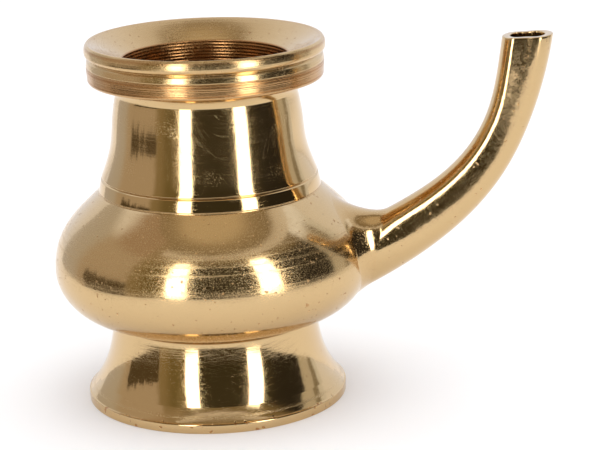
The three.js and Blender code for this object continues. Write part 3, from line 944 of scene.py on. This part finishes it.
# %% Spout tube
SPOUT_WALL = 2.0
SPOUT_SIDES = 96
SPOUT_ROWS = 150
RIM_EASE = 0.35
MOUTH_TILT = 3  # degrees from level
SLANTED_LENGTH = 25


def spout_outline():
    runs = np.linspace(0, SPOUT_LENGTH, SPOUT_ROWS)
    outer = np.stack([spout_radius(runs), runs], 1)
    inner = np.stack([spout_radius(runs) - SPOUT_WALL, runs], 1)
    return eased(outline(outer, inner[::-1]), RIM_EASE)


def cut(piece, cutter):
    """Takes a closed body away from a piece. The body is then thrown away."""
    knife = piece.modifiers.new("cut", "BOOLEAN")
    knife.operation = "DIFFERENCE"
    knife.solver = "EXACT"
    knife.object = cutter
    plain(piece)
    bpy.data.objects.remove(cutter)
    print(piece.name, "cut to", round(volume(piece), 3), "cm3,", len(piece.data.polygons), "faces")


spout = turn_piece(
    "spout",
    spout_outline(),
    spout_line,
    finishes["spout"],
    SPOUT_SIDES,
    slant=-math.tan(math.radians(MOUTH_TILT + 90 - SPOUT_MOUTH["degrees"])),
    slant_from=(SPOUT_LENGTH - SLANTED_LENGTH) * MM,
    filed=SPOUT_WAIST_RADIUS * MM,
)
belly_form = outline((0, belly_side[0][1]), belly_side, (0, belly_side[-1][1]), closed=False)
cut(spout, turn_piece("belly_form", belly_form, jug_axis, finishes["belly"]))

# %% [markdown]
# Spout hole
#
# Under the spout the belly is bored through, so that the jug can pour. A dark disc would do for one
# picture, but the jug is seen from any side. So a rod along the start of the spout's line is taken away
# from the belly.

# %% Spout hole
HOLE_RADIUS = 5.6
HOLE_SIDES = 48
HOLE_LENGTH = 8 * BELLY_WALL

to_end = heading(SPOUT_START["degrees"]) * HOLE_LENGTH / 2
hole_line = straight_line("hole_line", beside_axis(root - to_end), beside_axis(root + to_end))
helpers.append(hole_line)
rod = np.array([(0, 0), (HOLE_RADIUS, 0), (HOLE_RADIUS, HOLE_LENGTH), (0, HOLE_LENGTH)])
cut(belly, turn_piece("hole", rod, hole_line, finishes["belly"], HOLE_SIDES))

# %% [markdown]
# Where the spout comes out
#
# Filler was laid round the spout's root, wide on the upper side and narrow underneath. A bent torus could
# stand for it, but would float or sink, since both skins are curved. So each line along the spout's skin is
# followed to the place where it leaves the belly. A section is built there, with its foot on the belly and
# its head on the spout.

# %% Sections of the fillet
FILLET_OVER, FILLET_UNDER = 9.0, 2.6
FILLET_FULLNESS = 0.4
FILLET_STEPS = 14
BURIED = 0.12  # how far the back of the fillet lies under both skins
FOUND = 1e-4


def fillet_reach(turn):
    """The width of the fillet, on the belly and on the spout alike."""
    return FILLET_UNDER + (FILLET_OVER - FILLET_UNDER) * ((1 + math.cos(turn)) / 2) ** 2


def on_belly(point, sink=0.0):
    """The point moved level to the belly's face, or under it."""
    scale = (belly_radius(point[2]) - sink) / math.hypot(point[0], point[1])
    return np.array([point[0] * scale, point[1] * scale, point[2]])


def corner_run(turn):
    """The run at which a line along the spout's skin comes out of the belly."""
    low, high = 0.0, SPOUT_LENGTH / 2
    while high - low > FOUND:
        middle = (low + high) / 2
        x, y, z = spout_skin(middle, turn)
        low, high = (middle, high) if math.hypot(x, y) < belly_radius(z) else (low, middle)
    return high


def fillet_section(turn):
    """One closed section: foot on the belly, hollow face, head on the spout, back under both."""
    run, reach = corner_run(turn), fillet_reach(turn)
    corner = spout_skin(run, turn)
    outward = corner - spout_skin(run, turn, -1.0)
    foot = on_belly(corner + outward * reach)
    head = spout_skin(run + reach, turn)
    low, high = (edge + (corner - edge) * FILLET_FULLNESS for edge in (foot, head))
    return [
        *bezier(foot, low, high, head, FILLET_STEPS),
        spout_skin(run + reach, turn, -BURIED),
        on_belly(spout_skin(run, turn, -BURIED), BURIED),
        on_belly(foot, BURIED),
    ]


print("the spout comes out of the belly", round(corner_run(0), 2), "mm along its line on the upper side")

# %% Fillet of filler
FILLET_SHARP_DEGREES = 50


def ring_of_sections(name, sections, finish):
    """A closed ring of closed sections, in millimetres from the jug's axis."""
    count, size = len(sections), len(sections[0])

    def number(section, point):
        return section % count * size + point % size

    faces = [
        (number(s, p + 1), number(s + 1, p + 1), number(s + 1, p), number(s, p))
        for s in range(count)
        for p in range(size)
    ]
    points = [(AXIS_X + x * MM, y * MM, z * MM) for section in sections for x, y, z in section]
    piece = build(name, points, [], faces, finish)
    piece.data.shade_smooth()
    piece.data.set_sharp_from_angle(angle=math.radians(FILLET_SHARP_DEGREES))
    print(name, len(faces), "faces,", round(volume(piece), 4), "cm3")
    return piece


turns = [2 * math.pi * s / SPOUT_SIDES for s in range(SPOUT_SIDES)]
spout_braze = ring_of_sections("spout_braze", [fillet_section(turn) for turn in turns], finishes["filler"])

for helper in helpers:
    bpy.data.objects.remove(helper)

# %% [markdown]
# Every piece takes the place of its CAD node
#
# The frame still holds the CAD's plain pieces. They could be hidden by hand, but then nothing would tie a
# finished piece to its solid. So each rides on the frame's root and replaces its node.

# %% Replace the CAD nodes
SLOTS = {
    "foot": (foot, "polished_brass"),
    "foot_braze": (foot_braze, "braze_filler"),
    "belly": (belly, "polished_brass"),
    "neck_braze": (neck_braze, "braze_filler"),
    "neck": (neck, "turned_brass"),
    "spout": (spout, "polished_brass"),
    "spout_braze": (spout_braze, "braze_filler"),
}
for node, (piece, slot) in SLOTS.items():
    piece.name = node + "_finished"
    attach(piece, "root")
    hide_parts(node)
print(len(SLOTS), "pieces stand in the CAD model's place")

# %% [markdown]
# Camera
#
# A Track To constraint would aim a camera, but it keeps it level. The photograph's camera rolls a little.
# Its place, direction and lens were fitted, until the jug's rings and its outline fell on those in the
# photograph.

# %% Camera
CAMERA_FROM_AXIS = Vector((96.7, -548.3, 199.55))
YAW, PITCH, ROLL = -0.1330, -0.2715, -0.0296  # radians
LENS, SENSOR_WIDTH = 132, 36

forward = Vector((math.sin(YAW) * math.cos(PITCH), math.cos(YAW) * math.cos(PITCH), math.sin(PITCH)))
level = Vector((math.cos(YAW), -math.sin(YAW), 0))
upright = level.cross(forward)
right = level * math.cos(ROLL) + upright * math.sin(ROLL)
up = upright * math.cos(ROLL) - level * math.sin(ROLL)
lens = bpy.data.cameras.new("camera")
lens.lens = LENS
lens.sensor_width = SENSOR_WIDTH
camera = link("camera", lens)
turned_to = Matrix((right, up, -forward)).transposed().to_4x4()
camera.matrix_world = Matrix.Translation(Vector((AXIS_X, 0, 0)) + CAMERA_FROM_AXIS * MM) @ turned_to
bpy.context.scene.camera = camera
print("the camera is", round(CAMERA_FROM_AXIS.length), "mm from the jug's foot")

# %% [markdown]
# The studio
#
# Polished metal looks like whatever stands round it. The photographed jug mirrors a pale table, a dark room
# and two upright strip lights. A picture wrapped round the world is the usual way, but it is infinitely far
# off, and the lower belly mirrors things near the table. So walls and strips stand round the jug as
# screens. They are seen only in reflections: they throw no shadow, and the camera looks through them.

# %% Floor
FLOOR = 2.0  # metres from the middle to each side


def floor_paint():
    made = bpy.data.materials.new("white_table")
    made.use_nodes = True
    shader = made.node_tree.nodes["Principled BSDF"]
    shader.inputs["Base Color"].default_value = (0.92, 0.92, 0.92, 1)
    shader.inputs["Roughness"].default_value = 1.0
    shader.inputs["Specular IOR Level"].default_value = 0.0
    return made


corners = [(-FLOOR, -FLOOR, 0), (FLOOR, -FLOOR, 0), (FLOOR, FLOOR, 0), (-FLOOR, FLOOR, 0)]
build("floor", corners, [], [(0, 1, 2, 3)], floor_paint())
print("the floor is", 2 * FLOOR, "m wide")

# %% [markdown]
# The dark room
#
# The wall bends round the front of the jug. On the left it is nearer and taller, and runs straight past the
# jug. Its painted parts could be separate objects, but one material that goes by direction keeps them in a
# table. Each zone starts at a number of degrees from the camera's direction, with an edge that is so many
# degrees soft. The zones are a pale wall on the left over something low and dark, an olive part, the dark
# between and beyond the strips, and a pale wall again with a door post in it. Towards its top the room is
# browner.

# %% Walls round the jug
TOWARDS_CAMERA = math.degrees(math.atan2(CAMERA_FROM_AXIS.y, CAMERA_FROM_AXIS.x))
AHEAD_DISTANCE, SIDE_DISTANCE = 0.37, 0.225  # metres from the jug's axis
WALL_FIRST, TALL_LAST, WALL_LAST = -135, -52, 116
WALL_RISE, TALL_RISE = 1.35, 2.1  # heights as shares of the distance
WALL_STEP = 3


def wall_distance(side):
    """How far the wall stands from the jug's axis, in a direction in degrees from the camera's."""
    return min(AHEAD_DISTANCE, SIDE_DISTANCE / max(-math.sin(math.radians(side)), 1e-6))


def screen(name, first, last, heights, paint, nearer=0.0):
    """Part of the wall between two directions. heights gives its lower and upper edge at a distance."""
    steps = max(4, round((last - first) / WALL_STEP))
    spots = []
    for i in range(steps + 1):
        side = first + (last - first) * i / steps
        distance = wall_distance(side)
        way = heading(TOWARDS_CAMERA + side) * (distance - nearer)
        spots += [(AXIS_X + way[0], way[1], height) for height in heights(distance)]
    made = build(name, spots, [], [(2 * i, 2 * i + 1, 2 * i + 3, 2 * i + 2) for i in range(steps)], paint)
    made.visible_camera = made.visible_diffuse = made.visible_shadow = False
    print(name, "has", steps, "faces")


# %% Paint of the room
LOWER_ROOM = [
    (WALL_FIRST, 1, (0.60, 0.60, 0.62)),
    (-108, 6, (0.56, 0.49, 0.42)),
    (-61, 3, (0.33, 0.27, 0.16)),
    (-51, 6, (0.21, 0.17, 0.08)),
    (-27, 3, (0.055, 0.048, 0.028)),
    (56, 6, (0.032, 0.028, 0.020)),
    (91, 2, (0.66, 0.65, 0.62)),
    (104.5, 1, (0.32, 0.29, 0.23)),
    (110, 1.5, (0.84, 0.89, 0.97)),
]
UPPER_ROOM = [
    (WALL_FIRST, 1, (1.0, 1.05, 1.2)),
    (-103, 8, (0.48, 0.38, 0.30)),
    (-61, 4, (0.40, 0.33, 0.23)),
    (-42, 6, (0.26, 0.21, 0.13)),
    (92, 3, (1.10, 1.20, 1.45)),
]
UPPER_FROM, UPPER_FULL = 0.90, 1.16
LOW_THING = {"first": -98, "last": -61, "top": 0.27, "color": (0.11, 0.085, 0.05, 1)}


def glowing(name):
    """A new material for light, and its tree."""
    made = bpy.data.materials.new(name)
    made.use_nodes = True
    made.node_tree.nodes.remove(made.node_tree.nodes["Principled BSDF"])
    return made, Tree(made.node_tree)


def show(tree, color, strength=1.0):
    glow = tree.node("ShaderNodeEmission", None, {"Color": color, "Strength": strength})
    tree.lead(glow, "Material Output", "Surface")


def zones(tree, side, table):
    """A colour by direction, from a table of zones."""
    shade = (*table[0][2], 1)
    for start, soft, color in table[1:]:
        shade = tree.mix(tree.step(side, start - soft, start + soft), shade, (*color, 1))
    return shade


def room_paint():
    made, tree = glowing("dark_room")
    place = tree.node("ShaderNodeTexCoord", None, None, "Object")
    centred = tree.vector("SUBTRACT", place, (AXIS_X, 0, 0))
    turn = (0, 0, -math.radians(TOWARDS_CAMERA))
    x, y, z = tree.split(tree.node("ShaderNodeMapping", None, {0: centred, "Rotation": turn}))
    uneven = tree.node("ShaderNodeTexNoise", None, {"Vector": place, "Scale": 30, "Detail": 3}) - 0.5
    side = tree.maths("ARCTAN2", y, x) * (180 / math.pi) + uneven * 5
    rise = z / tree.maths("SQRT", x * x + y * y)
    high = tree.step(rise + uneven * 0.13, UPPER_FROM, UPPER_FULL)
    room = tree.mix(high, zones(tree, side, LOWER_ROOM), zones(tree, side, UPPER_ROOM))
    drips = tree.combine(side / 2.5, rise * 4, 0.0)
    ragged = tree.node("ShaderNodeTexNoise", None, {"Vector": drips, "Scale": 1, "Detail": 3}) - 0.5
    low = tree.step(rise + ragged * 0.32, LOW_THING["top"] + 0.03, LOW_THING["top"] - 0.03)
    low = low * tree.step(side, LOW_THING["first"] - 1, LOW_THING["first"] + 1)
    low = low * tree.step(side, LOW_THING["last"] + 1, LOW_THING["last"] - 1)
    show(tree, tree.mix(low, room, LOW_THING["color"]))
    return made


room = room_paint()
screen("room_wall", WALL_FIRST, WALL_LAST, lambda far: (0, far * WALL_RISE), room)
screen("tall_wall", WALL_FIRST, TALL_LAST, lambda far: (far * WALL_RISE, far * TALL_RISE), room)

# %% [markdown]
# Strip lights
#
# The two bright stripes on every turned piece are strip lights to the left and right of the camera. Area
# lights would give them too, but would light the table as well. Screens only show in the shine, and are
# made dimmer towards their ends, as the stripes are.

# %% Strips
STRIPS = {"left": (-33, -19.5), "right": (31, 46)}
STRIP_NEARER = 0.01
STRIP_BOTTOM, STRIP_TOP = 0.002, 0.44
FADE_BELOW, FADE_ABOVE = 0.008, 0.09
STRIP_DIM, STRIP_GLOW = 0.25, 6.5


def strip_paint():
    made, tree = glowing("strip_light")
    _, _, z = tree.split(tree.node("ShaderNodeTexCoord", None, None, "Object"))
    lit = tree.step(z, STRIP_BOTTOM, STRIP_BOTTOM + FADE_BELOW)
    lit = lit * tree.step(z, STRIP_TOP, STRIP_TOP - FADE_ABOVE)
    show(tree, (1.0, 1.0, 0.97, 1), STRIP_DIM + lit * (STRIP_GLOW - STRIP_DIM))
    return made


strip = strip_paint()
for name, (first, last) in STRIPS.items():
    screen(name + "_strip", first, last, lambda far: (STRIP_BOTTOM, STRIP_TOP), strip, STRIP_NEARER)

# %% [markdown]
# Walls, ceiling and floor light
#
# Over the screens and behind the jug are pale walls, and over them a brown ceiling, which the dish and the
# belly's shoulder mirror. They are far enough off to be painted on the world, by height. That leaves the
# floor grey, so it has a lamp of its own, which polished metal doesn't show.

# %% Ceiling and floor light
WORLD = [
    (0.0, (0.98, 1.03, 1.16)),
    (0.62, (0.97, 1.00, 1.10)),
    (0.845, (0.82, 0.80, 0.80)),
    (0.875, (0.30, 0.245, 0.16)),
    (0.935, (0.42, 0.35, 0.25)),
    (0.965, (0.70, 0.61, 0.47)),
]
LAMP_WIDTH, LAMP_HEIGHT, LAMP_WATTS = 2.4, 1.5, 17.0


def sky():
    world = bpy.data.worlds.new("studio")
    bpy.context.scene.world = world
    world.use_nodes = True
    tree = Tree(world.node_tree)
    _, _, z = tree.split(tree.node("ShaderNodeTexCoord", None, None, "Generated"))
    ramp = tree.node("ShaderNodeValToRGB", None, {0: z})
    stops = ramp.socket.node.color_ramp.elements
    while len(stops) < len(WORLD):
        stops.new(0.5)
    for stop, (place, shade) in zip(stops, WORLD):
        stop.position = place
        stop.color = (*shade, 1)
    tree.lead(ramp, "Background", "Color")


sky()
lamp = bpy.data.lights.new("floor_light", "AREA")
lamp.shape = "DISK"
lamp.size = LAMP_WIDTH
lamp.energy = LAMP_WATTS
floor_light = link("floor_light", lamp)
floor_light.matrix_world = Matrix.Translation((0, 0, LAMP_HEIGHT))
floor_light.visible_glossy = floor_light.visible_camera = False
bpy.context.scene.view_settings.view_transform = "Standard"
print("the world has", len(WORLD), "bands; the lamp has", LAMP_WATTS, "W")

# %% [markdown]
